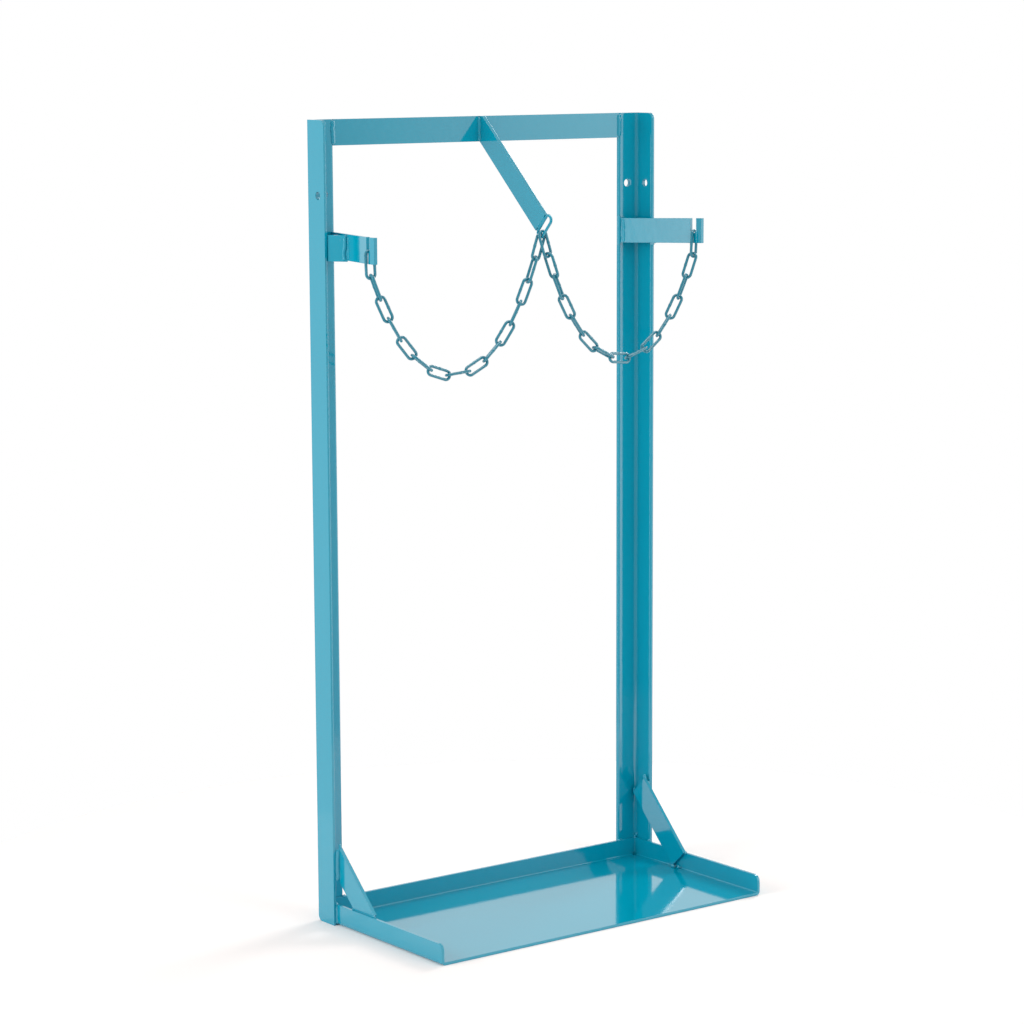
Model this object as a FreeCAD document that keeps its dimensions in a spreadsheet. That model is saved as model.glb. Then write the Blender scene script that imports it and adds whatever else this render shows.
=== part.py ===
import FreeCAD, Part
import math
import os
import re
import Sketcher

Vector = FreeCAD.Vector

# Driving dimensions in millimetres and degrees.
# +X is to the right, +Y to the back, +Z up. The origin is on the floor, in the
# middle of the width and of the depth.
DRIVING = {
    "stand_width": (570, "over the outer faces of both uprights"),
    "stand_height": (1100, "floor to the top of the uprights"),
    "angle_leg": (38, "leg of the rolled angle, outside"),
    "angle_wall": (5, "thickness of the angle"),
    "root_radius": (5, "fillet in the root of the angle"),
    "toe_radius": (2.5, "rounding of the inner toe corners"),
    "top_corner_radius": (9, "rounding of the side leg at the top front"),
    "heel_corner_radius": (8, "rounding of the side leg at the bottom back"),
    "wall_hole": (11, "wall fixing holes"),
    "wall_hole_inset": (23, "heel of the angle to the hole centre"),
    "wall_hole_drop": (100, "top of the upright to the hole centre"),
    "flat_thick": (5, "thickness of every flat bar"),
    "flat_height": (35, "crossbar, hooks and braces"),
    "arm_height": (30, "divider arm flat bar"),
    "arm_slope": (43, "divider arm below the horizontal"),
    "arm_length": (172, "lower edge of the divider arm"),
    "hook_drop": (150, "top of the upright to the root of the hook bar"),
    "left_hook_rise": (0, "left hook bar, upward from its root"),
    "right_hook_rise": (1.8, "right hook bar, upward from its root"),
    "hook_start_inset": (35.5, "side plane to the hook bar at its root"),
    "slot_inset": (6, "side plane to the middle of the slot"),
    "slot_reach": (133.7, "back plane to the middle of the slot"),
    "slot_width": (10, "open slot for the chain"),
    "slot_depth": (21, "slot below the top edge"),
    "tip_bend": (6.5, "middle of the slot to the bend of the tip"),
    "tip_length": (9.5, "bent tip beyond the slot"),
    "strut_turn": (31, "strut away from straight ahead"),
    "strut_drop": (1.5, "strut below the top edge of its hook bar"),
    "tray_reach": (283, "back plane to the front edge of the tray"),
    "tray_flange": (29, "height of the folded rims"),
    "tray_sheet": (4, "sheet of the tray"),
    "tray_bend": (2, "inner bend radius of the tray"),
    "tray_corner_radius": (10, "rounding of the rims at the front"),
    "tray_relief": (6, "round relief at the folded corners"),
    "left_brace_lean": (43.4, "left brace above the horizontal"),
    "left_brace_length": (112, "left brace along its edge"),
    "left_brace_reach": (97, "back plane to the lowest corner of the left brace"),
    "right_brace_lean": (46, "right brace above the horizontal"),
    "right_brace_length": (131, "right brace along its edge"),
    "right_brace_reach": (101, "back plane to the lowest corner of the right brace"),
    "brace_clearance": (0.2, "lowest corner above the bend"),
    "link_wire": (4, "wire of the chain"),
    "link_opening": (32.6, "inner length of a link"),
    "link_width": (16, "outer width of a link"),
    "link_count": (15, "links of one chain"),
    "link_clearance": (0.6, "play of two links along the chain"),
    "link_seat_gap": (0.4, "end link clear of what carries it"),
    "divider_link_rise": (1, "fixed link above the middle of the arm end"),
    "divider_pair_gap": (0.5, "play between the two end links on the arm"),
    "end_link_tilt": (3, "slot link away from hanging plumb"),
    "left_twist_slot": (-14, "left chain, turn of the link in the slot"),
    "left_twist_outer": (-27, "left chain, turn a quarter of the way in"),
    "left_twist_middle": (10, "left chain, turn of its middle link"),
    "left_twist_inner": (36, "left chain, turn three quarters of the way in"),
    "left_twist_arm": (0, "left chain, turn of the link at the arm"),
    "right_twist_slot": (166, "right chain, turn of the link in the slot"),
    "right_twist_outer": (126, "right chain, turn a quarter of the way in"),
    "right_twist_middle": (102, "right chain, turn of its middle link"),
    "right_twist_inner": (65, "right chain, turn three quarters of the way in"),
    "right_twist_arm": (0, "right chain, turn of the link at the arm"),
}

# The sides, as the direction in X from each upright to the middle.
LEFT = 1
RIGHT = -1
HANDS = {LEFT: "left", RIGHT: "right"}

TWIST_PLACES = ("slot", "outer", "middle", "inner", "arm")
SPARE_CUT = 3
CIRCLE_CENTRE = 3

# Places that several pieces share, written in terms of the driving dimensions.
HALF_WIDTH = "stand_width / 2"
BACK = "tray_reach / 2"
HALF_FLAT = "flat_thick / 2"
CROSSBAR_BOTTOM = "(stand_height - flat_height)"
HOOK_BOTTOM = "(stand_height - hook_drop - flat_height)"
SLOT_RUN = "(slot_reach - angle_wall)"
HOOK_SPLAY = f"atan((hook_start_inset - slot_inset) / {SLOT_RUN})"
SLOT_DISTANCE = f"({SLOT_RUN} / cos({HOOK_SPLAY}))"
HOOK_LENGTH = f"({SLOT_DISTANCE} + tip_bend + tip_length + flat_thick)"
LINK_RADIUS = "((link_width - link_wire) / 2)"
LINK_HALF_STRAIGHT = f"((link_opening + link_wire) / 2 - {LINK_RADIUS})"


def make_sheet(doc):
    """Put every driving dimension in its own named cell."""
    sheet = doc.addObject("Spreadsheet::Sheet", "Sizes")
    for row, (name, (number, note)) in enumerate(DRIVING.items(), start=1):
        sheet.set(f"A{row}", name)
        sheet.set(f"B{row}", str(number))
        sheet.set(f"C{row}", note)
        sheet.setAlias(f"B{row}", name)
    doc.recompute()
    return sheet


def linked(formula):
    """Write a formula of dimension names as one that reads the sheet."""
    names = sorted(DRIVING, key=len, reverse=True)
    return re.sub(r"\b(" + "|".join(names) + r")\b", r"Sizes.\1", str(formula))


def number(sheet, formula):
    """Work a formula of dimension names out."""
    return float(sheet.evalExpression(linked(formula)))


class Builder:
    """One body with its sketches and features, all bound to the sheet."""

    def __init__(self, doc, sheet, label):
        self.doc = doc
        self.sheet = sheet
        self.body = doc.addObject("PartDesign::Body", label)
        self.body.Label = label

    def origin_feature(self, role):
        """Give a plane or axis of the body's own origin."""
        for feature in self.body.Origin.OriginFeatures:
            if feature.Role == role:
                return feature
        raise ValueError(role)

    def sketch(self, role, offset=None):
        """Start a sketch on one of the body's own planes."""
        sketch = self.body.newObject("Sketcher::SketchObject", "Sketch")
        sketch.AttachmentSupport = [(self.origin_feature(role), "")]
        sketch.MapMode = "FlatFace"
        if offset:
            sketch.setExpression("AttachmentOffset.Base.z", linked(offset))
        return sketch

    def fix_point(self, sketch, edge, end, place):
        """Hold one end of an edge at a place given by two formulas."""
        axes = (("DistanceX", -2), ("DistanceY", -1))
        for formula, (kind, axis) in zip(place, axes):
            if formula == "0":
                sketch.addConstraint(Sketcher.Constraint("PointOnObject", edge, end, axis))
                continue
            distance = number(self.sheet, formula)
            rule = Sketcher.Constraint(kind, -1, 1, edge, end, distance)
            index = sketch.addConstraint(rule)
            sketch.setExpression(f"Constraints[{index}]", linked(formula))

    def outline(self, role, corners, offset=None):
        """Draw a closed outline.

        A corner is (x, y), or (x, y, radius, turn) where the side that leaves
        it is an arc, turning left for a turn of 1 and right for a turn of -1.
        """
        sketch = self.sketch(role, offset)
        points = [Vector(number(self.sheet, c[0]), number(self.sheet, c[1]), 0) for c in corners]
        starts = []
        ends = []
        for index, corner in enumerate(corners):
            here = points[index]
            there = points[(index + 1) % len(points)]
            if len(corner) == 2:
                edge = sketch.addGeometry(Part.LineSegment(here, there), False)
                starts.append((edge, 1))
                ends.append((edge, 2))
                continue
            radius = number(self.sheet, corner[2])
            edge = sketch.addGeometry(arc_between(here, there, radius, corner[3]), False)
            starts.append((edge, 1 if corner[3] > 0 else 2))
            ends.append((edge, 2 if corner[3] > 0 else 1))
            rule = sketch.addConstraint(Sketcher.Constraint("Radius", edge, radius))
            sketch.setExpression(f"Constraints[{rule}]", linked(corner[2]))
        for index, corner in enumerate(corners):
            before = ends[index - 1]
            sketch.addConstraint(Sketcher.Constraint("Coincident", *before, *starts[index]))
            self.fix_point(sketch, *starts[index], corner[:2])
        return sketch

    def circle(self, role, centre, diameter, offset=None):
        """Draw one circle."""
        sketch = self.sketch(role, offset)
        place = Vector(number(self.sheet, centre[0]), number(self.sheet, centre[1]), 0)
        radius = number(self.sheet, diameter) / 2
        edge = sketch.addGeometry(Part.Circle(place, Vector(0, 0, 1), radius), False)
        rule = sketch.addConstraint(Sketcher.Constraint("Diameter", edge, 2 * radius))
        sketch.setExpression(f"Constraints[{rule}]", linked(diameter))
        self.fix_point(sketch, edge, CIRCLE_CENTRE, centre)
        return sketch

    def pad(self, sketch, length, both_ways=False):
        """Give an outline its thickness."""
        pad = self.body.newObject("PartDesign::Pad", "Pad")
        pad.Profile = sketch
        pad.SideType = "Symmetric" if both_ways else "One side"
        pad.setExpression("Length", linked(length))
        sketch.Visibility = False
        return pad

    def cut_both_ways(self, sketch, length):
        """Cut an outline through, as far to each side of its plane."""
        self.doc.recompute()
        before = self.body.Shape.Volume
        pocket = self.body.newObject("PartDesign::Pocket", "Cut")
        pocket.Profile = sketch
        pocket.SideType = "Symmetric"
        pocket.setExpression("Length", linked(length))
        self.doc.recompute()
        if not self.body.Shape.Volume < before:
            raise ValueError(f"{self.body.Label}: {sketch.Name} cuts nothing")
        return pocket

    def round_edges(self, radius, chosen):
        """Round the edges whose middle point is chosen."""
        self.doc.recompute()
        base = self.body.Tip
        edges = base.Shape.Edges
        names = [f"Edge{i}" for i, edge in enumerate(edges, start=1) if chosen(middle(edge))]
        fillet = self.body.newObject("PartDesign::Fillet", "Round")
        fillet.Base = (base, names)
        fillet.setExpression("Radius", linked(radius))
        return fillet

    def place(self, x="0", y="0", z="0", turn="0"):
        """Put the body in the stand, measured from the plane of its back."""
        self.body.setExpression("Placement.Base.x", linked(x))
        self.body.setExpression("Placement.Base.y", linked(f"{BACK} + {y}"))
        self.body.setExpression("Placement.Base.z", linked(z))
        self.body.setExpression("Placement.Rotation.Angle", linked(turn))


def arc_between(start, end, radius, turn):
    """Give the short arc from start to end that turns left or right."""
    chord = end - start
    rise = math.sqrt(max(radius ** 2 - (chord.Length / 2) ** 2, 0))
    left = Vector(-chord.y, chord.x, 0).normalize()
    centre = start + chord * 0.5 + left * (rise * turn)
    first, last = (start, end) if turn > 0 else (end, start)
    angles = [math.atan2(p.y - centre.y, p.x - centre.x) for p in (first, last)]
    return Part.ArcOfCircle(Part.Circle(centre, Vector(0, 0, 1), radius), *angles)


def middle(edge):
    """Give the middle point of an edge."""
    first, last = edge.ParameterRange
    return edge.valueAt((first + last) / 2)


def near(value, target):
    """Say whether two lengths are the same."""
    return abs(value - target) < 0.01


def hook_rise(side, run):
    """Give how far a hook bar has risen after a run from its root."""
    return f"({run} * tan({HANDS[side]}_hook_rise))"


def upright(doc, sheet, side):
    """Rolled angle: heel outside at the back, one leg forward, one inward."""
    part = Builder(doc, sheet, f"{HANDS[side]}_upright")
    leg = f"{side} * angle_leg"
    wall = f"{side} * angle_wall"
    profile = part.outline("XY_Plane", [
        ("0", "0"),
        (leg, "0"),
        (leg, "-(angle_wall - toe_radius)", "toe_radius", -side),
        (f"{side} * (angle_leg - toe_radius)", "-angle_wall"),
        (f"{side} * (angle_wall + root_radius)", "-angle_wall", "root_radius", side),
        (wall, "-(angle_wall + root_radius)"),
        (wall, "-(angle_leg - toe_radius)", "toe_radius", -side),
        (f"{side} * (angle_wall - toe_radius)", "-angle_leg"),
        ("0", "-angle_leg"),
    ])
    part.pad(profile, "stand_height")
    top_corner = part.outline("YZ_Plane", [
        (f"-angle_leg - {SPARE_CUT}", f"stand_height + {SPARE_CUT}"),
        ("-angle_leg + top_corner_radius", f"stand_height + {SPARE_CUT}"),
        ("-angle_leg + top_corner_radius", "stand_height", "top_corner_radius", 1),
        ("-angle_leg", "stand_height - top_corner_radius"),
        (f"-angle_leg - {SPARE_CUT}", "stand_height - top_corner_radius"),
    ])
    part.cut_both_ways(top_corner, "2 * angle_leg")
    heel_corner = part.outline("YZ_Plane", [
        (f"{SPARE_CUT}", f"-{SPARE_CUT}"),
        (f"{SPARE_CUT}", "heel_corner_radius"),
        ("0", "heel_corner_radius", "heel_corner_radius", -1),
        ("-heel_corner_radius", "0"),
        ("-heel_corner_radius", f"-{SPARE_CUT}"),
    ])
    part.cut_both_ways(heel_corner, "2 * angle_wall")
    hole_height = "stand_height - wall_hole_drop"
    side_hole = part.circle("YZ_Plane", ("-wall_hole_inset", hole_height), "wall_hole")
    part.cut_both_ways(side_hole, "2 * angle_leg")
    back_hole = part.circle("XZ_Plane", (f"{side} * wall_hole_inset", hole_height), "wall_hole")
    part.cut_both_ways(back_hole, "2 * angle_leg")
    part.place(x=f"{-side} * {HALF_WIDTH}")
    return part.body


def crossbar(doc, sheet):
    """Flat bar between the back legs, flush with their tops and faces."""
    part = Builder(doc, sheet, "crossbar")
    end = f"({HALF_WIDTH} - angle_leg)"
    face = part.outline("XZ_Plane", [
        (f"-{end}", CROSSBAR_BOTTOM),
        (end, CROSSBAR_BOTTOM),
        (end, "stand_height"),
        (f"-{end}", "stand_height"),
    ])
    part.pad(face, "flat_thick")
    part.place()
    return part.body


def arm_corner(along, across):
    """Give a point of the arm, from the back lower corner of its profile."""
    y = f"(-flat_thick - ({along}) * cos(arm_slope) - ({across}) * sin(arm_slope))"
    z = f"({CROSSBAR_BOTTOM} - ({along}) * sin(arm_slope) + ({across}) * cos(arm_slope))"
    return y, z


def divider_arm(doc, sheet):
    """Sloping flat bar on edge, cut flush with the crossbar at the back."""
    part = Builder(doc, sheet, "divider_arm")
    upper_end = arm_corner("arm_length", "arm_height")
    upper_back = f"({upper_end[0]} + (stand_height - {upper_end[1]}) / tan(arm_slope))"
    face = part.outline("YZ_Plane", [
        ("-flat_thick", "stand_height"),
        ("-flat_thick", CROSSBAR_BOTTOM),
        arm_corner("arm_length", "0"),
        upper_end,
        (upper_back, "stand_height"),
    ])
    part.pad(face, "flat_thick", both_ways=True)
    part.place()
    return part.body


def hook_bar(doc, sheet, side):
    """Flat bar on edge, splayed outward, with an open slot and a bent tip."""
    part = Builder(doc, sheet, f"{HANDS[side]}_hook_bar")
    bend = f"({SLOT_DISTANCE} + tip_bend)"
    mitre = f"{HALF_FLAT} * tan({HOOK_SPLAY} / 2)"
    slant = f"{HALF_FLAT} * tan({HOOK_SPLAY})"
    tip_x = f"tip_length * sin({HOOK_SPLAY})"
    tip_y = f"tip_length * cos({HOOK_SPLAY})"
    wide = f"{HALF_FLAT} * cos({HOOK_SPLAY})"
    deep = f"{HALF_FLAT} * sin({HOOK_SPLAY})"
    plan = part.outline("XY_Plane", [
        (f"{side} * {HALF_FLAT}", slant),
        (f"-{side} * {HALF_FLAT}", f"-{slant}"),
        (f"-{side} * {HALF_FLAT}", f"-{bend} - {mitre}"),
        (f"{side} * ({tip_x} - {wide})", f"-{bend} - {tip_y} - {deep}"),
        (f"{side} * ({tip_x} + {wide})", f"-{bend} - {tip_y} + {deep}"),
        (f"{side} * {HALF_FLAT}", f"-{bend} + {mitre}"),
    ], offset=f"-{SPARE_CUT}")
    part.pad(plan, f"flat_height + 2 * {SPARE_CUT} + {hook_rise(side, HOOK_LENGTH)}")
    back_rise = hook_rise(side, f"-{SPARE_CUT}")
    front_rise = hook_rise(side, HOOK_LENGTH)
    beneath = part.outline("YZ_Plane", [
        (f"{SPARE_CUT}", back_rise),
        (f"-{HOOK_LENGTH}", front_rise),
        (f"-{HOOK_LENGTH}", f"-2 * {SPARE_CUT}"),
        (f"{SPARE_CUT}", f"-2 * {SPARE_CUT}"),
    ])
    part.cut_both_ways(beneath, "20 * flat_thick")
    above = part.outline("YZ_Plane", [
        (f"{SPARE_CUT}", f"flat_height + {back_rise}"),
        (f"{SPARE_CUT}", f"flat_height + {front_rise} + 2 * {SPARE_CUT}"),
        (f"-{HOOK_LENGTH}", f"flat_height + {front_rise} + 2 * {SPARE_CUT}"),
        (f"-{HOOK_LENGTH}", f"flat_height + {front_rise}"),
    ])
    part.cut_both_ways(above, "20 * flat_thick")
    bottom = f"(flat_height - slot_depth + {hook_rise(side, SLOT_DISTANCE)})"
    open_top = f"flat_height + {front_rise} + {SPARE_CUT}"
    slot = part.outline("YZ_Plane", [
        (f"-{SLOT_DISTANCE} - slot_width / 2", open_top),
        (f"-{SLOT_DISTANCE} - slot_width / 2", f"{bottom} + slot_width / 2", "slot_width / 2", 1),
        (f"-{SLOT_DISTANCE}", bottom, "slot_width / 2", 1),
        (f"-{SLOT_DISTANCE} + slot_width / 2", f"{bottom} + slot_width / 2"),
        (f"-{SLOT_DISTANCE} + slot_width / 2", open_top),
    ])
    part.cut_both_ways(slot, "4 * flat_thick")
    part.place(x=f"{-side} * ({HALF_WIDTH} - hook_start_inset)", y="-angle_wall",
               z=HOOK_BOTTOM, turn=f"{-side} * {HOOK_SPLAY}")
    return part.body


def hook_strut(doc, sheet, side):
    """Short flat bar from the front of the side leg to the hook bar."""
    part = Builder(doc, sheet, f"{HANDS[side]}_hook_strut")
    sine = "sin(strut_turn)"
    cosine = "cos(strut_turn)"
    splay = HOOK_SPLAY
    face_start = f"(hook_start_inset - {HALF_FLAT} / cos({splay}))"
    gap = f"({face_start} - angle_wall - (angle_leg - angle_wall) * tan({splay}))"
    run = f"({gap} / ({sine} + {cosine} * tan({splay})))"
    along_hook = f"(flat_thick / sin(strut_turn * 1 deg + {splay}))"
    front_x = f"(angle_wall + {run} * {sine})"
    front_y = f"(-angle_leg - {run} * {cosine})"
    plan = part.outline("XY_Plane", [
        (f"{side} * angle_wall", "-angle_leg"),
        (f"{side} * {front_x}", front_y),
        (f"{side} * ({front_x} + {along_hook} * sin({splay}))", f"{front_y} + {along_hook} * cos({splay})"),
        (f"{side} * angle_wall", f"-angle_leg + flat_thick / {sine}"),
    ])
    part.pad(plan, "flat_height")
    part.place(x=f"{-side} * {HALF_WIDTH}", z=f"{HOOK_BOTTOM} - strut_drop")
    return part.body


def tray(doc, sheet):
    """One folded sheet: floor, a rim at the back and one at each side."""
    part = Builder(doc, sheet, "tray")
    outer = f"({HALF_WIDTH} - angle_wall)"
    inner = f"({outer} - tray_sheet)"
    inner_back = "-(angle_wall + tray_sheet)"
    block = part.outline("XY_Plane", [
        (f"-{outer}", "-tray_reach"),
        (outer, "-tray_reach"),
        (outer, "-angle_wall"),
        (f"-{outer}", "-angle_wall"),
    ])
    part.pad(block, "tray_flange")
    wide = number(sheet, outer)
    back = -number(sheet, "angle_wall")
    high = number(sheet, "tray_flange")

    def outer_bend(point):
        at_corner = near(abs(point.x), wide) and near(point.y, back)
        at_floor = near(point.z, 0) and (near(abs(point.x), wide) or near(point.y, back))
        return at_corner or at_floor

    part.round_edges("tray_sheet + tray_bend", outer_bend)
    hollow = part.outline("XY_Plane", [
        (f"-{inner}", f"-tray_reach - {SPARE_CUT}"),
        (inner, f"-tray_reach - {SPARE_CUT}"),
        (inner, inner_back),
        (f"-{inner}", inner_back),
    ], offset="tray_flange + tray_sheet")
    part.cut_both_ways(hollow, "2 * tray_flange")
    clear_width = number(sheet, inner)
    clear_back = number(sheet, inner_back)
    floor = number(sheet, "tray_sheet")

    def inner_bend(point):
        at_corner = near(abs(point.x), clear_width) and near(point.y, clear_back)
        at_wall = near(abs(point.x), clear_width) or near(point.y, clear_back)
        return at_corner or (near(point.z, floor) and at_wall)

    part.round_edges("tray_bend", inner_bend)
    front = -number(sheet, "tray_reach")
    part.round_edges("tray_corner_radius", lambda p: near(p.y, front) and near(p.z, high))
    for hand in ("-", ""):
        centre = (f"{hand}({inner} - tray_bend)", f"{inner_back} - tray_bend")
        relief = part.circle("XY_Plane", centre, "tray_relief")
        part.cut_both_ways(relief, "2 * (tray_sheet + tray_bend)")
    part.place()
    return part.body


def brace(doc, sheet, side):
    """Flat bar with square ends, from the root of the angle to the tray."""
    name = f"{HANDS[side]}_brace"
    part = Builder(doc, sheet, name)
    low = "(tray_sheet + tray_bend + brace_clearance)"

    def corner(along, across):
        y = f"-{name}_reach + {along} * cos({name}_lean) - {across} * sin({name}_lean)"
        z = f"{low} + {along} * sin({name}_lean) + {across} * cos({name}_lean)"
        return y, z

    face = part.outline("YZ_Plane", [
        corner("0", "0"),
        corner(f"{name}_length", "0"),
        corner(f"{name}_length", "flat_height"),
        corner("0", "flat_height"),
    ])
    part.pad(face, "flat_thick", both_ways=True)
    middle_plane = f"({HALF_WIDTH} - angle_wall - tray_sheet - {HALF_FLAT})"
    part.place(x=f"{-side} * {middle_plane}")
    return part.body


def chain_link(doc, sheet, label):
    """Long link: two straight sides joined by half rings, on the X axis."""
    part = Builder(doc, sheet, label)
    side_wire = part.circle("YZ_Plane", (LINK_RADIUS, "0"), "link_wire")
    straight = part.pad(side_wire, f"2 * {LINK_HALF_STRAIGHT}", both_ways=True)
    end_wire = part.circle("YZ_Plane", (LINK_RADIUS, "0"), "link_wire", offset=LINK_HALF_STRAIGHT)
    bend = part.body.newObject("PartDesign::Revolution", "Bend")
    bend.Profile = end_wire
    bend.ReferenceAxis = (end_wire, ["V_Axis"])
    bend.Angle = 180
    bend.Reversed = True
    turn = part.body.newObject("PartDesign::PolarPattern", "OtherHalf")
    turn.Originals = [straight, bend]
    turn.Axis = (part.origin_feature("Z_Axis"), [""])
    turn.Angle = 360
    turn.Occurrences = 2
    part.body.Tip = turn
    return part.body


def bisect(miss, low, high):
    """Find where a falling function passes through zero."""
    for _ in range(60):
        centre = (low + high) / 2
        if miss(centre) > 0:
            low = centre
        else:
            high = centre
    return (low + high) / 2


def hanging_slopes(lengths, span, rise):
    """Slopes of equal hanging links that bridge a span and a rise.

    Each link carries the same weight, so the tangents of the slopes are evenly
    spaced: they are found from their spacing and from the lowest point.
    """
    places = range(len(lengths))

    def slopes(spacing):
        def short_of_rise(lowest):
            angles = [math.atan(spacing * (k - lowest)) for k in places]
            return sum(l * math.sin(a) for l, a in zip(lengths, angles)) - rise

        lowest = bisect(short_of_rise, -len(lengths), 2 * len(lengths))
        return [math.atan(spacing * (k - lowest)) for k in places]

    def spare_width(spacing):
        return sum(l * math.cos(a) for l, a in zip(lengths, slopes(spacing))) - span

    nearly_straight = 0.001
    very_curved = 10
    return slopes(bisect(spare_width, nearly_straight, very_curved))


def arm_point(sheet, along, across):
    """Give a point in the plane of the arm as numbers."""
    y, z = arm_corner(along, across)
    return Vector(0, number(sheet, f"{BACK} + {y}"), number(sheet, z))


def arm_supports(sheet):
    """Middle and axes of the fixed link, and where each chain hangs on it.

    The left chain hangs in the lowest part of the link's bend and the right
    one beside it, on the sloping straight side in front.
    """
    slope = math.radians(number(sheet, "arm_slope"))
    up = Vector(0, -math.sin(slope), math.cos(slope))
    out = Vector(0, -math.cos(slope), -math.sin(slope))
    centre = arm_point(sheet, "arm_length", "arm_height / 2 + divider_link_rise")
    centre += out * number(sheet, "link_width / 2")
    ring = centre - up * number(sheet, LINK_HALF_STRAIGHT)
    radius = number(sheet, LINK_RADIUS)
    lowest = ring - Vector(0, 0, radius)
    beside = ring + out * radius
    forward = number(sheet, "link_wire + divider_pair_gap") + beside.y - lowest.y
    beside += up * (forward / math.sin(slope))
    return centre, up, out, {LEFT: lowest, RIGHT: beside}


def slot_support(sheet, side):
    """Middle of the half ring of the link that lies in a slot."""
    reach = number(sheet, "link_width / 2 - link_wire - link_seat_gap")
    half_flat = number(sheet, HALF_FLAT)
    x = -side * number(sheet, f"{HALF_WIDTH} - slot_inset")
    y = number(sheet, f"{BACK} - slot_reach")
    rise = hook_rise(side, SLOT_DISTANCE)
    bottom = number(sheet, f"{HOOK_BOTTOM} + flat_height - slot_depth + {rise}")
    return Vector(x, y, bottom - math.sqrt(reach ** 2 - half_flat ** 2))


def frame_at(centre, along, width):
    """Placement of a link from its middle, its long axis and its width."""
    along = Vector(along).normalize()
    width = (width - along * along.dot(width)).normalize()
    normal = along.cross(width)
    return FreeCAD.Placement(centre, FreeCAD.Rotation(along, width, normal, "XYZ"))


def twist_at(share, turns):
    """Give the turn of a link that lies a share of the way along its chain.

    The turns are known at evenly spaced places and change evenly in between.
    """
    spaces = len(turns) - 1
    index = min(int(share * spaces), spaces - 1)
    part_way = share * spaces - index
    return turns[index] * (1 - part_way) + turns[index + 1] * part_way


def bend_reach(sheet, turned):
    """Distance from the middle of a link to the place where the chain bends.

    A link that lies flat in the bend turns about the middle of its half ring,
    and one that stands across it about the wire of its neighbour.
    """
    ring = number(sheet, LINK_HALF_STRAIGHT)
    pitch = number(sheet, "link_opening - link_clearance")
    return ring + (pitch - 2 * ring) * math.sin(turned) ** 2


def last_reach(sheet, side):
    """Distance from the middle of the last link to the wire that carries it."""
    seat = number(sheet, "link_wire + link_seat_gap")
    if side == RIGHT:
        seat /= math.sin(math.radians(number(sheet, "arm_slope")))
    return number(sheet, "(link_opening + link_wire) / 2") - seat


def chain_placements(sheet, side):
    """Placements of the links of one chain, from its slot to the arm."""
    count = int(number(sheet, "link_count"))
    twists = [number(sheet, f"{HANDS[side]}_twist_{place}") for place in TWIST_PLACES]

    def turn(place):
        """Turn of the odd links, at a place counted in links from the slot."""
        return math.radians(twist_at(place / (count - 1), twists))

    quarters = [math.pi / 2 * (k % 2) for k in range(count)]
    befores = [bend_reach(sheet, turn(k - 0.5) + quarters[k]) for k in range(1, count)]
    afters = [bend_reach(sheet, turn(k + 0.5) + quarters[k]) for k in range(count - 1)]
    befores.insert(0, number(sheet, LINK_HALF_STRAIGHT))
    afters.append(last_reach(sheet, side))
    start = slot_support(sheet, side)
    finish = arm_supports(sheet)[3][side]
    tilt = math.radians(number(sheet, "end_link_tilt"))
    ahead = Vector(finish.x - start.x, finish.y - start.y, 0).normalize()
    across = Vector(0, 0, 1).cross(ahead)
    hang = ahead * math.sin(tilt) - Vector(0, 0, math.cos(tilt))
    joint = start + hang * (befores[0] + afters[0])
    lengths = [before + after for before, after in zip(befores[1:], afters[1:])]
    slopes = hanging_slopes(lengths, (finish - joint).dot(ahead), finish.z - joint.z)
    directions = [ahead * math.cos(slope) + Vector(0, 0, math.sin(slope)) for slope in slopes]
    directions.insert(0, hang)
    joint = start
    placements = []
    for k, along in enumerate(directions):
        centre = joint + along * befores[k]
        joint = centre + along * afters[k]
        turned = turn(k) + quarters[k]
        upward = along.cross(across)
        width = upward * math.cos(turned) + across * (side * math.sin(turned))
        placements.append(frame_at(centre, along, width))
    return placements


def chain(doc, sheet, side):
    """All links of one chain, each turned a quarter from the last."""
    for index, placement in enumerate(chain_placements(sheet, side), start=1):
        link = chain_link(doc, sheet, f"{HANDS[side]}_chain_link_{index:02d}")
        link.Placement = placement


def fixed_link(doc, sheet):
    """Link welded along the end of the arm, from which both chains hang."""
    link = chain_link(doc, sheet, "divider_link")
    centre, up, out, _ = arm_supports(sheet)
    link.Placement = frame_at(centre, up, out)


def check_document(doc):
    """Stop when an object failed or a piece has no sound shape."""
    for item in doc.Objects:
        if "Invalid" in item.State or "Error" in item.State:
            raise RuntimeError(f"{item.Label} failed")
    for body in pieces(doc):
        if body.Shape.isNull() or not body.Shape.isValid():
            raise RuntimeError(f"{body.Label} has no sound shape")


def pieces(doc):
    """Every finished piece of the stand."""
    return [item for item in doc.Objects if item.TypeId == "PartDesign::Body"]


def export(doc):
    """Write each piece to its own file."""
    os.makedirs("parts", exist_ok=True)
    for body in pieces(doc):
        body.Shape.exportStep(f"parts/{body.Label}.step")


def main():
    doc = FreeCAD.newDocument("GasCylinderStand")
    sheet = make_sheet(doc)
    crossbar(doc, sheet)
    divider_arm(doc, sheet)
    fixed_link(doc, sheet)
    tray(doc, sheet)
    for side in (LEFT, RIGHT):
        upright(doc, sheet, side)
        hook_bar(doc, sheet, side)
        hook_strut(doc, sheet, side)
        brace(doc, sheet, side)
        chain(doc, sheet, side)
    doc.recompute()
    check_document(doc)
    export(doc)


main()
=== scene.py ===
import math
from typing import NamedTuple

import bpy
import numpy as np
from mathutils import Matrix, Vector, noise


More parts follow.
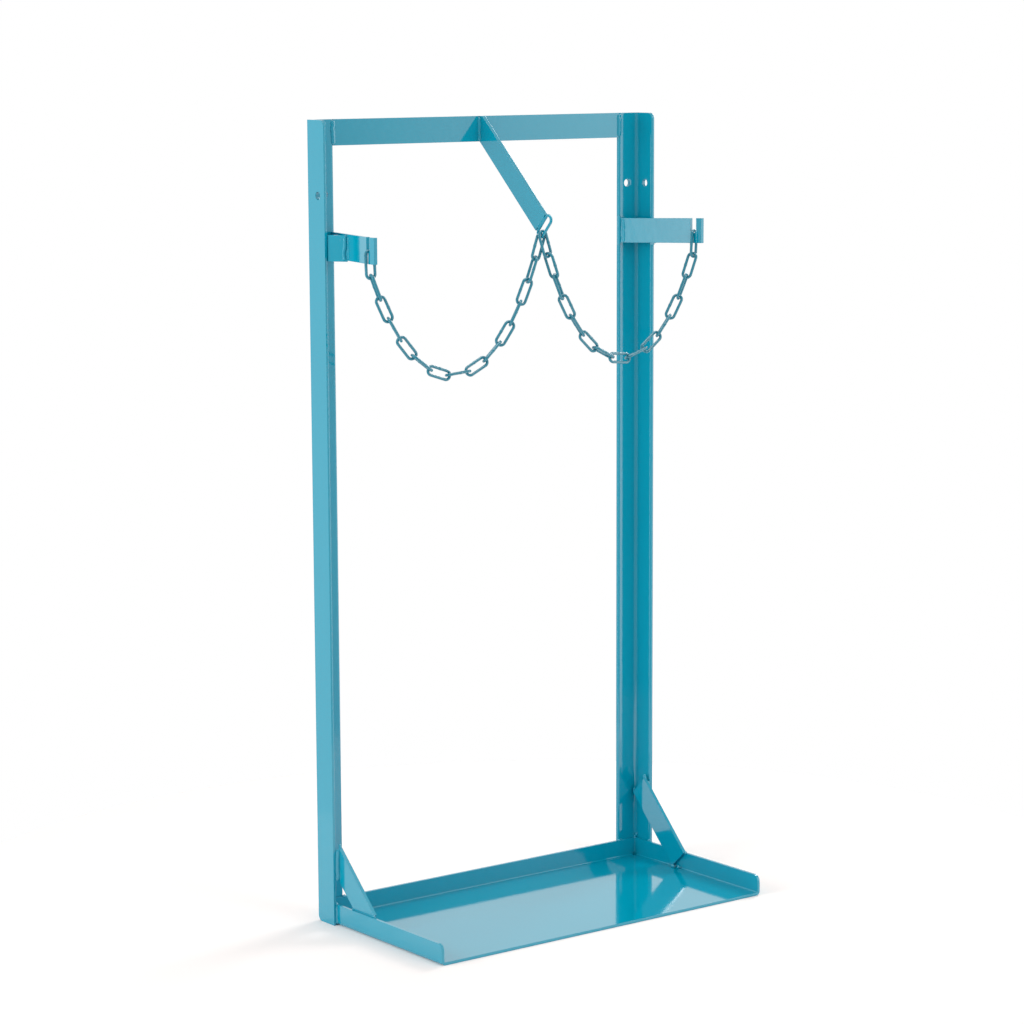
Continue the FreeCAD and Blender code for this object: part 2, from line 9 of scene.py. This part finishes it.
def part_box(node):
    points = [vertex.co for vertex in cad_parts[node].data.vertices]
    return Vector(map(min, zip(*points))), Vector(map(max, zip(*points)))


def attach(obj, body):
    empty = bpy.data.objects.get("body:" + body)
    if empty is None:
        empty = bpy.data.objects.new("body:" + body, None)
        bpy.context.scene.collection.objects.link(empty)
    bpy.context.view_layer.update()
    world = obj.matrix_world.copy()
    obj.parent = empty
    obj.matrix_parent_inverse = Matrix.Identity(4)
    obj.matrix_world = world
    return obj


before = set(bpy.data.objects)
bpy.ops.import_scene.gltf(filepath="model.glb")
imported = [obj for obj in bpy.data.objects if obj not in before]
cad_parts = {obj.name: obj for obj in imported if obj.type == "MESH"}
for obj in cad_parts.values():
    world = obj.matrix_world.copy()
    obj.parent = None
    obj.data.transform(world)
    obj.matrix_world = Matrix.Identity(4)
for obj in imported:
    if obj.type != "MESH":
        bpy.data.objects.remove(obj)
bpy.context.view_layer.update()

MM = 0.001
FRONT = Vector((0, -1, 0))
UP = Vector((0, 0, 1))
SIDES = (("left", -1), ("right", 1))

# The photograph's camera, fitted to the stand's own edges. Places are in metres,
# turns in radians, the lens and sensor in millimetres and the shift in widths.
CAMERA_PLACE = Vector((-2.59586, -3.33429, 1.20072))
CAMERA_YAW = 0.6515
CAMERA_DIP = 0.1623
CAMERA_ROLL = -0.0043
CAMERA_LENS = 109.07
CAMERA_SENSOR = 36
CAMERA_SHIFT = 38 / 1024
CAMERA_SIGHT = 100

# Paint colours, as linear red, green and blue, for a thick film and a thin one.
TEAL = (0.0, 0.305, 0.440)
TEAL_THIN = (0.0, 0.340, 0.480)
CHAIN_TEAL = (0.012, 0.215, 0.300)
CHAIN_TEAL_THIN = (0.030, 0.250, 0.345)

# The paint's film and gloss. A scale is in spots a metre.
CLOUD_SCALE = 9.0
SPECK_SCALE = 260.0
CLOUD_SHARE = 0.75
PAINT_IOR = 1.8
LEAST_ROUGHNESS = 0.04
CLOUD_ROUGHNESS = 0.04
SPECK_ROUGHNESS = 0.02
BEVEL_SAMPLES = 6

# The paint's orange peel: fine grain over slower waves.
PEEL_SCALE = 420.0
WAVE_SCALE = 90.0
PEEL_SHARE = 0.35

# The floor is a disc. The camera and gloss see it a little whiter than it bounces
# light, and a little warm, which takes the paint's tint out of the shadow.
FLOOR_WHITE = (1.0, 0.95, 0.93)
FLOOR_BOUNCE = (0.85, 0.85, 0.85)
FLOOR_REACH = 0.9
FLOOR_SIDES = 64

# The studio round the stand. It gives the paint an even soft light. Gloss shows dim
# walls with brighter ones and a bright ceiling among them, as (towards, brightness
# added, degrees to the end of its even part, degrees to its rim). Flattened directions
# make the bright walls tall.
SOFT_LIGHT = 0.72
DIM_WALLS = 0.38
BRIGHT_WALLS = (
    ((0.139, 0.990, 0.0), 0.67, 38, 53),
    ((-0.970, 0.242, 0.0), 1.90, 9.5, 12.5),
    ((0.819, -0.574, 0.0), 1.70, 10, 24),
    ((0.0, 0.0, 1.0), 2.60, 50, 70),
)
WALL_FLATTENING = (1.0, 1.0, 0.35)

# The lamps, as (name, place, target, size, power, seen in gloss), in metres and watts.
LAMPS = (
    ("left_lamp", (-2.6, 0.3, 1.2), (0, 0, 0.6), 1.6, 29, False),
    ("front_lamp", (0.6, -3.4, 1.9), (0, 0, 0.5), 1.6, 22, False),
    ("right_lamp", (2.3, 0.7, 2.0), (0, 0, 0.2), 1.2, 30, True),
)


class Bead(NamedTuple):
    """Sizes of a bead of weld in millimetres, and the seed of its unevenness.

    The bead sinks by its depth into what it joins, its rings are one pitch apart
    and its middle wanders off the line.
    """

    width: float
    height: float
    seed: int
    depth: float = 1.0
    pitch: float = 2.3
    wander: float = 0.5


CROSSBAR_BEAD = Bead(7.5, 1.5, seed=1)
HOOK_TOE_BEAD = Bead(6.2, 2.6, depth=2.0, pitch=3.4, wander=0.3, seed=3)
HOOK_BAR_BEAD = Bead(4.6, 1.4, depth=2.0, pitch=3.4, seed=25)
HOOK_SIDE_BEAD = Bead(6.0, 1.6, seed=5)
STRUT_BEAD = Bead(5.6, 2.4, depth=2.0, pitch=3.8, wander=1.3, seed=7)
STRUT_BAR_BEAD = Bead(3.4, 1.2, depth=1.5, pitch=3.0, wander=0.9, seed=17)
STRUT_END_BEAD = Bead(5.0, 1.5, seed=9)
TRAY_SPOT = Bead(5.0, 2.2, seed=11)
RIM_SIDE_BEAD = Bead(6.5, 1.2, depth=2.0, seed=21)
BRACE_SPOT = Bead(4.6, 2.3, seed=13)
BRACE_SIDE_BEAD = Bead(6.5, 1.2, depth=2.5, seed=23)
ARM_BEAD = Bead(5.5, 1.8, seed=9)
DIVIDER_LINK_BEAD = Bead(3.2, 0.9, pitch=1.8, seed=10)

# Places of beads in millimetres, from the corners that they fill.
CORNER_INSET = 1.5
ARM_INSET = 1.4
HOOK_BAR_OUT = 1.8
HOOK_BAR_AHEAD = 8
STRUT_FOOT = 6.0
STRUT_HEAD = 3.4
STRUT_BAR_AHEAD = 2.7
RIM_AHEAD = 0.2
BRACE_ASIDE = 2
BRACE_AHEAD = 0.6
SEAM_ASIDE = 1.7
SEAM_AHEAD = 0.4
SEAM_FOOT = 5
SEAM_HEAD = 27

# How a bead is meshed, in millimetres along it and corners around it.
BEAD_STEP = 0.45
BEAD_FEWEST_STEPS = 8
BEAD_SIDES = 14

# The form of a bead, in shares of its own width, height or pitch. Each further run
# of one piece starts its rings some millimetres later.
BEAD_TIP = 0.08
VALLEY_HEIGHT = 0.72
RING_HEIGHT = 0.28
RING_WIDTH = 0.05
RING_BOW = 0.175
RING_SPREAD = 1.25
RING_START = 0.45
NEXT_RUN_START = 0.7
WOBBLE_WIDTH = 0.10
WOBBLE_HEIGHT = 0.18
WOBBLE_LEAN = 0.12

# Steps of the noise for each millimetre, seed and run: quick wobble and slow drift.
WOBBLE_RATES = (0.21, 7.3, 3.1)
DRIFT_RATES = (0.08, 2.9, 5.3)

# The weld in a link, in millimetres. It sinks into the wire and swells in its middle,
# and its noise steps by the two rates for each millimetre and each link.
LINK_WIRE = 4.0
LINK_RADIUS = 6.0
LINK_WELD_SWELL = 0.35
LINK_WELD_SINK = 0.06
LINK_WELD_REACH = 5.0
LINK_WELD_SPREAD = 2.3
LINK_WELD_UNEVEN = 0.3
LINK_WELD_RATES = (0.5, 3.7)
LINK_WELD_RINGS = 14
LINK_WELD_SIDES = 14

# Sizes in millimetres and turns of the bars that their boxes don't give.
FLAT_HEIGHT = 35
ARM_HEIGHT = 30
ARM_SLOPE = math.radians(43)
SPLAY = math.radians(12.9)
STRUT_TURN = math.radians(31)
BRACE_TURN = math.radians(45)

# Places in millimetres that the welds share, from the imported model.
UPRIGHT_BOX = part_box("right_upright")
CROSSBAR_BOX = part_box("crossbar")
HALF_WIDTH = UPRIGHT_BOX[1].x / MM
ANGLE_LEG = (UPRIGHT_BOX[1].x - UPRIGHT_BOX[0].x) / MM
BACK = UPRIGHT_BOX[1].y / MM
TOP = UPRIGHT_BOX[1].z / MM
WALL = (CROSSBAR_BOX[1].y - CROSSBAR_BOX[0].y) / MM
BAR_LOW = CROSSBAR_BOX[0].z / MM
TOE = HALF_WIDTH - ANGLE_LEG
INNER_BACK = BACK - WALL
HOOK_ROOT = -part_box("left_hook_bar")[1].x / MM
FLANGE_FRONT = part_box("left_upright")[0].y / MM
FLANGE_INSIDE = HALF_WIDTH - WALL
RIM_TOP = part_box("tray")[1].z / MM
ARM_LOW_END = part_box("divider_arm")[0] / MM


class Socket:
    """An output of a node that can be used in sums."""

    def __init__(self, sheet, output):
        self.sheet = sheet
        self.output = output

    def maths(self, operation, first, second):
        return self.sheet.add("ShaderNodeMath", {"operation": operation}, {0: first, 1: second})

    def __add__(self, other):
        return self.maths("ADD", self, other)

    def __radd__(self, other):
        return self.maths("ADD", other, self)

    def __sub__(self, other):
        return self.maths("SUBTRACT", self, other)

    def __rsub__(self, other):
        return self.maths("SUBTRACT", other, self)

    def __mul__(self, other):
        return self.maths("MULTIPLY", self, other)

    def __rmul__(self, other):
        return self.maths("MULTIPLY", other, self)

    def either(self, other):
        return self.maths("MAXIMUM", self, other)


class NodeSheet:
    """The nodes of one material or of the world."""

    def __init__(self, tree):
        self.tree = tree
        tree.nodes.clear()

    def add(self, kind, settings=None, inputs=None, output=0):
        """Add a node, set it up and feed its sockets with numbers or links."""
        node = self.tree.nodes.new(kind)
        for name, value in (settings or {}).items():
            setattr(node, name, value)
        for name, value in (inputs or {}).items():
            if isinstance(value, Socket):
                self.tree.links.new(value.output, node.inputs[name])
            else:
                node.inputs[name].default_value = value
        if not node.outputs:
            return node
        return Socket(self, node.outputs[output])

    def blend(self, factor, first, second):
        """Mix two colours. The node's colour sockets are its inputs 6 and 7 and its output 2."""
        inputs = {0: factor, 6: (*first, 1), 7: (*second, 1)}
        return self.add("ShaderNodeMix", {"data_type": "RGBA"}, inputs, 2)

    def grain(self, place, scale, detail):
        """Cloudy noise from 0 to 1, with its spots 1 / scale metres apart."""
        inputs = {"Vector": place, "Scale": scale, "Detail": detail}
        return self.add("ShaderNodeTexNoise", {}, inputs)


def powder_coat(name, thick_film, thin_film, edge_radius, peel_depth):
    """Glossy coat over steel: orange peel, soft edges and a thinner film in spots."""
    material = bpy.data.materials.new(name)
    material.use_nodes = True
    sheet = NodeSheet(material.node_tree)
    place = sheet.add("ShaderNodeTexCoord", output="Object")
    clouds = sheet.grain(place, CLOUD_SCALE, detail=3.0)
    specks = sheet.grain(place, SPECK_SCALE, detail=1.0)
    film = clouds * CLOUD_SHARE + specks * (1 - CLOUD_SHARE)
    colour = sheet.blend(film, thick_film, thin_film)
    roughness = LEAST_ROUGHNESS + clouds * CLOUD_ROUGHNESS + specks * SPECK_ROUGHNESS
    edges = sheet.add("ShaderNodeBevel", {"samples": BEVEL_SAMPLES}, {"Radius": edge_radius})
    peel = sheet.grain(place, PEEL_SCALE, detail=1.5)
    waves = sheet.grain(place, WAVE_SCALE, detail=1.0)
    height = peel * PEEL_SHARE + waves * (1 - PEEL_SHARE)
    bump = sheet.add("ShaderNodeBump", {}, {
        "Strength": 1.0, "Distance": peel_depth, "Height": height, "Normal": edges})
    surface = sheet.add("ShaderNodeBsdfPrincipled", {}, {
        "Base Color": colour, "Roughness": roughness, "IOR": PAINT_IOR, "Normal": bump})
    sheet.add("ShaderNodeOutputMaterial", {}, {"Surface": surface})
    return material


def dress(piece, material):
    """Give every face of a piece one material."""
    piece.data.materials.clear()
    piece.data.materials.append(material)


def mesh_piece(name, points, faces, material, body):
    """Make a smooth piece that rides on a body."""
    mesh = bpy.data.meshes.new(name)
    mesh.from_pydata([tuple(p) for p in points], [], faces)
    mesh.update()
    mesh.shade_smooth()
    piece = bpy.data.objects.new(name, mesh)
    bpy.context.scene.collection.objects.link(piece)
    dress(piece, material)
    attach(piece, body)


def tube_faces(first, rings, sides):
    """Faces of the skin over rings of points that start at one number."""
    faces = []
    for ring in range(rings - 1):
        low = first + ring * sides
        for turn in range(sides):
            other = (turn + 1) % sides
            faces.append((low + turn, low + other, low + sides + other, low + sides + turn))
    return faces


def ripple(distance, pitch):
    """Height of a weld's overlapping rings along its run, from 0 to 1."""
    share = (distance / pitch) % 1.0
    return math.sqrt(max(0.0, 1.0 - (share * RING_SPREAD - RING_START) ** 2))


def uneven(rates, distance, seed, number):
    """Smooth noise from -1 to 1 along one run of a bead."""
    return noise.noise(Vector((distance * rates[0], seed * rates[1], number * rates[2])))


def bead_section(bead, distance, length, seed, number):
    """Half width, height and lean to one side of a bead at a place on its run."""
    from_end = min(distance, length - distance) / (0.5 * bead.width)
    swell = math.sqrt(1 - (1 - min(1.0, from_end)) ** 2) * (1 - BEAD_TIP) + BEAD_TIP
    ring = ripple(distance + number * NEXT_RUN_START, bead.pitch)
    wobble = uneven(WOBBLE_RATES, distance, seed, number)
    drift = uneven(DRIFT_RATES, distance, seed, number)
    half = 0.5 * bead.width * swell * (1 + WOBBLE_WIDTH * wobble + RING_WIDTH * ring)
    rise = bead.height * swell * (VALLEY_HEIGHT + RING_HEIGHT * ring + WOBBLE_HEIGHT * wobble)
    lean = WOBBLE_LEAN * bead.width * wobble + 2 * bead.wander * drift
    return half, rise, lean


def weld_bead(name, runs, bead, side=0):
    """Lay a rippled bead of weld along each run.

    A run is (start, end, outward): two places in millimetres and the way that
    the bead faces. The seed moves on with the side, so that no two look alike.
    """
    seed = bead.seed + side
    points = []
    faces = []
    for number, (start, end, outward) in enumerate(runs):
        along = (end - start).normalized()
        outward = (Vector(outward) - along * along.dot(Vector(outward))).normalized()
        sideways = along.cross(outward)
        length = (end - start).length
        steps = max(BEAD_FEWEST_STEPS, int(length / BEAD_STEP))
        first = len(points)
        for step in range(steps + 1):
            distance = length * step / steps
            half, rise, lean = bead_section(bead, distance, length, seed, number)
            for turn in range(BEAD_SIDES):
                angle = math.tau * turn / BEAD_SIDES
                above = math.sin(angle) > 0
                bow = RING_BOW * bead.pitch * math.sin(angle) if above else 0.0
                lift = (rise if above else bead.depth) * math.sin(angle)
                place = start + along * (distance + bow) + outward * lift
                points.append((place + sideways * (half * math.cos(angle) + lean)) * MM)
        last = first + steps * BEAD_SIDES
        faces += tube_faces(first, steps + 1, BEAD_SIDES)
        faces.append(tuple(first + turn for turn in reversed(range(BEAD_SIDES))))
        faces.append(tuple(last + turn for turn in range(BEAD_SIDES)))
    mesh_piece(name, points, faces, PAINT, "stand")


def spot(corner, shift, along, outward, length):
    """A short run of weld about a place that is shifted from a corner."""
    half = Vector(along).normalized() * (length / 2)
    centre = corner + Vector(shift)
    return centre - half, centre + half, outward


def link_axes(node):
    """Middle of a chain link in millimetres, and its long and wide directions."""
    points = np.array([tuple(vertex.co) for vertex in node.data.vertices]) / MM
    centre = (points.min(axis=0) + points.max(axis=0)) / 2
    _, directions = np.linalg.eigh(np.cov((points - centre).T))
    return Vector(centre), Vector(directions[:, 2]), Vector(directions[:, 1])


def link_weld_points(centre, along, across, seed):
    """Points of the swollen joint in one side of a link, ring by ring."""
    beyond = along.cross(across)
    middle = centre + across * LINK_RADIUS
    place_rate, seed_rate = LINK_WELD_RATES
    points = []
    for step in range(LINK_WELD_RINGS + 1):
        place = (step / LINK_WELD_RINGS * 2 - 1) * LINK_WELD_REACH
        swell = LINK_WELD_SWELL * math.exp(-(place / LINK_WELD_SPREAD) ** 2)
        for turn in range(LINK_WELD_SIDES):
            angle = math.tau * turn / LINK_WELD_SIDES
            cosine, sine = math.cos(angle), math.sin(angle)
            grain = noise.noise(Vector((cosine, sine, seed * seed_rate + place * place_rate)))
            radius = LINK_WIRE / 2 - LINK_WELD_SINK + swell * (1 + LINK_WELD_UNEVEN * grain)
            points.append((middle + along * place + (across * cosine + beyond * sine) * radius) * MM)
    return points


def chain_welds(hand):
    """The swollen weld that closes each link of a chain, in the middle of its upper side."""
    points = []
    faces = []
    links = sorted(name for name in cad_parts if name.startswith(f"{hand}_chain_link"))
    for seed, name in enumerate(links):
        centre, along, across = link_axes(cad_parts[name])
        if across.z < 0:
            across = -across
        faces += tube_faces(len(points), LINK_WELD_RINGS + 1, LINK_WELD_SIDES)
        points += link_weld_points(centre, along, across, seed)
    mesh_piece(f"{hand}_chain_welds", points, faces, CHAIN_PAINT, f"{hand}_chain")


def mirrored(side, run):
    """Set a run of weld that is given for the right side on either side."""
    return [Vector((side * place[0], place[1], place[2])) for place in run]


def upward_run(place, low, high, outward):
    """An upright run of weld on the right side, from one height to another."""
    return Vector((*place, low)), Vector((*place, high)), outward


def side_weld(hand, side, name, runs, bead):
    """Lay runs of weld that are given for the right side on one side.

    A run starts and ends a few millimetres within its joint's ends, or past them.
    """
    weld_bead(f"{hand}_{name}", [mirrored(side, run) for run in runs], bead, side)


def crossbar_weld(hand, side):
    """Bead between the crossbar and the toe of the upright."""
    run = upward_run((TOE, INNER_BACK), BAR_LOW + 1, TOP - 1.5, FRONT)
    side_weld(hand, side, "crossbar_weld", [run], CROSSBAR_BEAD)


def hook_root_welds(hand, side, low, high):
    """Beads round the root of the hook bar. The right one is longer, as in the photo."""
    above = 6 if side > 0 else 1
    on_toe = upward_run((HOOK_ROOT, INNER_BACK), low - 4, high + above, (-1, 0, 0))
    side_weld(hand, side, "hook_root_weld", [on_toe], HOOK_TOE_BEAD)
    inner_face = (-math.cos(SPLAY), -math.sin(SPLAY), 0)
    on_face = (HOOK_ROOT + HOOK_BAR_OUT, INNER_BACK - HOOK_BAR_AHEAD)
    on_bar = upward_run(on_face, low, high + 1, inner_face)
    side_weld(hand, side, "hook_bar_weld", [on_bar], HOOK_BAR_BEAD)
    outside = (HOOK_ROOT + WALL + CORNER_INSET, INNER_BACK - CORNER_INSET)
    beside = upward_run(outside, low + 2, high - 2, (1, -1, 0))
    side_weld(hand, side, "hook_side_weld", [beside], HOOK_SIDE_BEAD)


def bar_outside(y):
    """Outer face of the splayed hook bar at a depth."""
    return HOOK_ROOT + WALL + (INNER_BACK - y) * math.tan(SPLAY)


def strut_welds(hand, side, low, high):
    """Beads where the strut meets the hook bar and the upright."""
    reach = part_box(f"{hand}_hook_strut")[0].y / MM
    meet = Vector((bar_outside(reach), reach, 0))
    up_strut = Vector((math.sin(STRUT_TURN), math.cos(STRUT_TURN), 0))
    strut_face = (math.cos(STRUT_TURN), -math.sin(STRUT_TURN), 0)
    start = meet + up_strut * STRUT_FOOT + UP * (low - 0.5)
    end = meet + up_strut * STRUT_HEAD + UP * (high + 0.5)
    side_weld(hand, side, "strut_weld", [(start, end, strut_face)], STRUT_BEAD)
    ahead = meet + Vector((math.sin(SPLAY), -math.cos(SPLAY), 0)) * STRUT_BAR_AHEAD
    outer_face = (math.cos(SPLAY), math.sin(SPLAY), 0)
    thin_run = upward_run(ahead.xy, low + 1, high - 1, outer_face)
    side_weld(hand, side, "bar_weld", [thin_run], STRUT_BAR_BEAD)
    end_y = FLANGE_FRONT + WALL / math.sin(STRUT_TURN) + CORNER_INSET
    inner = upward_run((FLANGE_INSIDE - CORNER_INSET, end_y), low + 2, high - 4, (-1, 1, 0))
    side_weld(hand, side, "strut_end_weld", [inner], STRUT_END_BEAD)


def hook_welds(hand, side):
    """Beads that hold the hook bar to the upright and the strut to the bar."""
    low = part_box(f"{hand}_hook_bar")[0].z / MM
    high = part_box(f"{hand}_hook_strut")[1].z / MM - 1
    hook_root_welds(hand, side, low, high)
    strut_welds(hand, side, low, high)


def tray_welds(hand, side):
    """Spots and a bead that hold the tray's rims to the upright."""
    back_corner = Vector((FLANGE_INSIDE, INNER_BACK, RIM_TOP))
    front_corner = Vector((FLANGE_INSIDE, FLANGE_FRONT, RIM_TOP))
    toe_corner = Vector((TOE, INNER_BACK, RIM_TOP))
    runs = [
        spot(back_corner, (-1, -1.5, 1), along=(1, 0, 0.35), outward=(-0.5, -1, 0.8), length=7),
        spot(back_corner, (-1, -3.5, 4), along=(0, 0.3, 1), outward=(-1, -1, 0.3), length=6),
        spot(front_corner, (-0.5, 0.5, 0.5), along=(0, 1, 0.5), outward=(-0.4, -0.6, 1), length=5),
        spot(toe_corner, (0, -2, 0), along=(1, 0, 0), outward=(0, -0.6, 1), length=6),
    ]
    side_weld(hand, side, "tray_welds", runs, TRAY_SPOT)
    gap = (FLANGE_INSIDE, FLANGE_FRONT - RIM_AHEAD)
    beside = upward_run(gap, 2, RIM_TOP - 1, (0.8, -1, 0))
    side_weld(hand, side, "rim_side_weld", [beside], RIM_SIDE_BEAD)


def brace_welds(hand, side):
    """Spots at the corners of the brace, and a bead beside the upright's flange."""
    low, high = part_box(f"{hand}_brace")
    inside = low.x / MM if side > 0 else -high.x / MM
    front, back, bottom, top = low.y / MM, high.y / MM, low.z / MM, high.z / MM
    square = FLAT_HEIGHT * math.sin(BRACE_TURN)
    top_corner = Vector((inside, back - square, top))
    back_corner = Vector((inside, back, top - square))
    rim_corner = Vector((inside, front, RIM_TOP))
    low_corner = Vector((inside, front + square, bottom))
    runs = [
        spot(top_corner, (4, 1.5, 1), along=(0, 0.1, 1), outward=(-0.8, -0.6, 0.3), length=9),
        spot(back_corner, (4, 1, 3), along=(0, -0.5, 1), outward=(-0.8, 0.3, 0.5), length=6),
        spot(rim_corner, (4.5, 1, 0.3), along=(0, 1, 0.2), outward=(-0.5, -0.6, 1), length=6),
        spot(low_corner, (-0.5, -2, 0.2), along=(0, 1, 0), outward=(-1, 0, 0.8), length=7),
        spot(low_corner, (-0.5, -14, 0.2), along=(0, 1, 0), outward=(-1, 0, 0.8), length=4),
        spot(rim_corner, (5, 49, 0.3), along=(0, 1, 0.3), outward=(0.5, 0.3, 1), length=4),
    ]
    side_weld(hand, side, "brace_welds", runs, BRACE_SPOT)
    lowest = top - square - (back - FLANGE_FRONT) + 1
    highest = top - max(0, back - square - FLANGE_FRONT) - 1
    gap = (FLANGE_INSIDE - BRACE_ASIDE, FLANGE_FRONT - BRACE_AHEAD)
    beside = upward_run(gap, lowest, highest, (0.3, -1, 0))
    side_weld(hand, side, "brace_side_weld", [beside], BRACE_SIDE_BEAD)


def arm_welds():
    """Beads at the back of the divider arm, and those that hold its link."""
    back_corner = (WALL / 2 + ARM_INSET, INNER_BACK - ARM_INSET)
    beside = upward_run(back_corner, BAR_LOW + 1, TOP - 2, (1, -1, 0))
    weld_bead("divider_arm_weld", [mirrored(side, beside) for _, side in SIDES], ARM_BEAD)
    upward = Vector((0, -math.sin(ARM_SLOPE), math.cos(ARM_SLOPE)))
    outward = Vector((0, -math.cos(ARM_SLOPE), -math.sin(ARM_SLOPE)))
    corner = Vector((0, ARM_LOW_END.y + ARM_HEIGHT * math.sin(ARM_SLOPE), ARM_LOW_END.z))
    seam = corner + outward * SEAM_AHEAD + Vector((SEAM_ASIDE, 0, 0))
    facing = Vector((1, 0, 0)) + outward * 0.4
    beside = seam + upward * SEAM_FOOT, seam + upward * SEAM_HEAD, facing
    both = [mirrored(side, beside) for _, side in SIDES]
    weld_bead("divider_link_weld", both, DIVIDER_LINK_BEAD)


def bright_walls(sheet):
    """Brightness of the studio's walls in each direction."""
    towards = sheet.add("ShaderNodeTexCoord", output="Generated")
    flattened = sheet.add("ShaderNodeVectorMath", {"operation": "MULTIPLY"}, {
        0: towards, 1: WALL_FLATTENING})
    level = sheet.add("ShaderNodeVectorMath", {"operation": "NORMALIZE"}, {0: flattened})
    glow = DIM_WALLS
    for direction, brightness, even, rim in BRIGHT_WALLS:
        facing = sheet.add("ShaderNodeVectorMath", {"operation": "DOT_PRODUCT"}, {
            0: level, 1: direction}, output="Value")
        wall = sheet.add("ShaderNodeMapRange", {"interpolation_type": "SMOOTHSTEP"}, {
            "Value": facing,
            "From Min": math.cos(math.radians(rim)),
            "From Max": math.cos(math.radians(even))})
        glow = glow + wall * brightness
    return glow


def white_studio():
    """White for the camera, walls to mirror for gloss and an even light for paint."""
    world = bpy.data.worlds.new("studio")
    world.use_nodes = True
    sheet = NodeSheet(world.node_tree)
    camera = sheet.add("ShaderNodeLightPath", output="Is Camera Ray")
    gloss = sheet.add("ShaderNodeLightPath", output="Is Glossy Ray")
    through = sheet.add("ShaderNodeLightPath", output="Is Transmission Ray")
    seen = camera.either(through)
    unseen = gloss * bright_walls(sheet) + (1 - gloss) * SOFT_LIGHT
    strength = seen + (1 - seen) * unseen
    light = sheet.add("ShaderNodeBackground", {}, {"Color": (1, 1, 1, 1), "Strength": strength})
    sheet.add("ShaderNodeOutputWorld", {}, {"Surface": light})
    bpy.context.scene.world = world


def studio_floor():
    """Pale floor that shows white and keeps the stand's shadow."""
    material = bpy.data.materials.new("pale_floor")
    material.use_nodes = True
    sheet = NodeSheet(material.node_tree)
    camera = sheet.add("ShaderNodeLightPath", output="Is Camera Ray")
    gloss = sheet.add("ShaderNodeLightPath", output="Is Glossy Ray")
    colour = sheet.blend(camera.either(gloss), FLOOR_BOUNCE, FLOOR_WHITE)
    surface = sheet.add("ShaderNodeBsdfDiffuse", {}, {"Color": colour})
    sheet.add("ShaderNodeOutputMaterial", {}, {"Surface": surface})
    mesh = bpy.data.meshes.new("floor")
    turns = [math.tau * corner / FLOOR_SIDES for corner in range(FLOOR_SIDES)]
    corners = [(FLOOR_REACH * math.cos(turn), FLOOR_REACH * math.sin(turn), 0) for turn in turns]
    mesh.from_pydata(corners, [], [tuple(range(FLOOR_SIDES))])
    floor = bpy.data.objects.new("floor", mesh)
    bpy.context.scene.collection.objects.link(floor)
    dress(floor, material)


def soft_lamp(name, place, target, size, power, seen_in_gloss):
    """Large soft lamp that looks at the stand."""
    lamp = bpy.data.lights.new(name, "AREA")
    lamp.shape = "DISK"
    lamp.size = size
    lamp.energy = power
    holder = bpy.data.objects.new(name, lamp)
    holder.location = place
    aim = Vector(target) - Vector(place)
    holder.rotation_euler = aim.to_track_quat("-Z", "Y").to_euler()
    holder.visible_glossy = seen_in_gloss
    bpy.context.scene.collection.objects.link(holder)


def photograph_camera():
    """Camera of the photograph."""
    ahead = Vector((math.sin(CAMERA_YAW) * math.cos(CAMERA_DIP),
                    math.cos(CAMERA_YAW) * math.cos(CAMERA_DIP), -math.sin(CAMERA_DIP)))
    level = Vector((math.cos(CAMERA_YAW), -math.sin(CAMERA_YAW), 0))
    upward = level.cross(ahead)
    right = level * math.cos(CAMERA_ROLL) + upward * math.sin(CAMERA_ROLL)
    top = upward * math.cos(CAMERA_ROLL) - level * math.sin(CAMERA_ROLL)
    lens = bpy.data.cameras.new("camera")
    lens.lens = CAMERA_LENS
    lens.sensor_width = CAMERA_SENSOR
    lens.shift_y = CAMERA_SHIFT
    lens.clip_end = CAMERA_SIGHT
    camera = bpy.data.objects.new("camera", lens)
    turn = Matrix((right, top, -ahead)).transposed().to_4x4()
    camera.matrix_world = Matrix.Translation(CAMERA_PLACE) @ turn
    bpy.context.scene.collection.objects.link(camera)
    bpy.context.scene.camera = camera


PAINT = powder_coat(
    "teal_powder_coat", TEAL, TEAL_THIN, edge_radius=0.0006, peel_depth=0.00005)
CHAIN_PAINT = powder_coat(
    "teal_chain_coat", CHAIN_TEAL, CHAIN_TEAL_THIN, edge_radius=0.0003, peel_depth=0.00008)

for name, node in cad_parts.items():
    dress(node, CHAIN_PAINT if "chain_link" in name else PAINT)

for hand, side in SIDES:
    crossbar_weld(hand, side)
    hook_welds(hand, side)
    tray_welds(hand, side)
    brace_welds(hand, side)
    chain_welds(hand)
arm_welds()

white_studio()
studio_floor()
for lamp in LAMPS:
    soft_lamp(*lamp)
photograph_camera()
bpy.context.scene.view_settings.view_transform = "Standard"
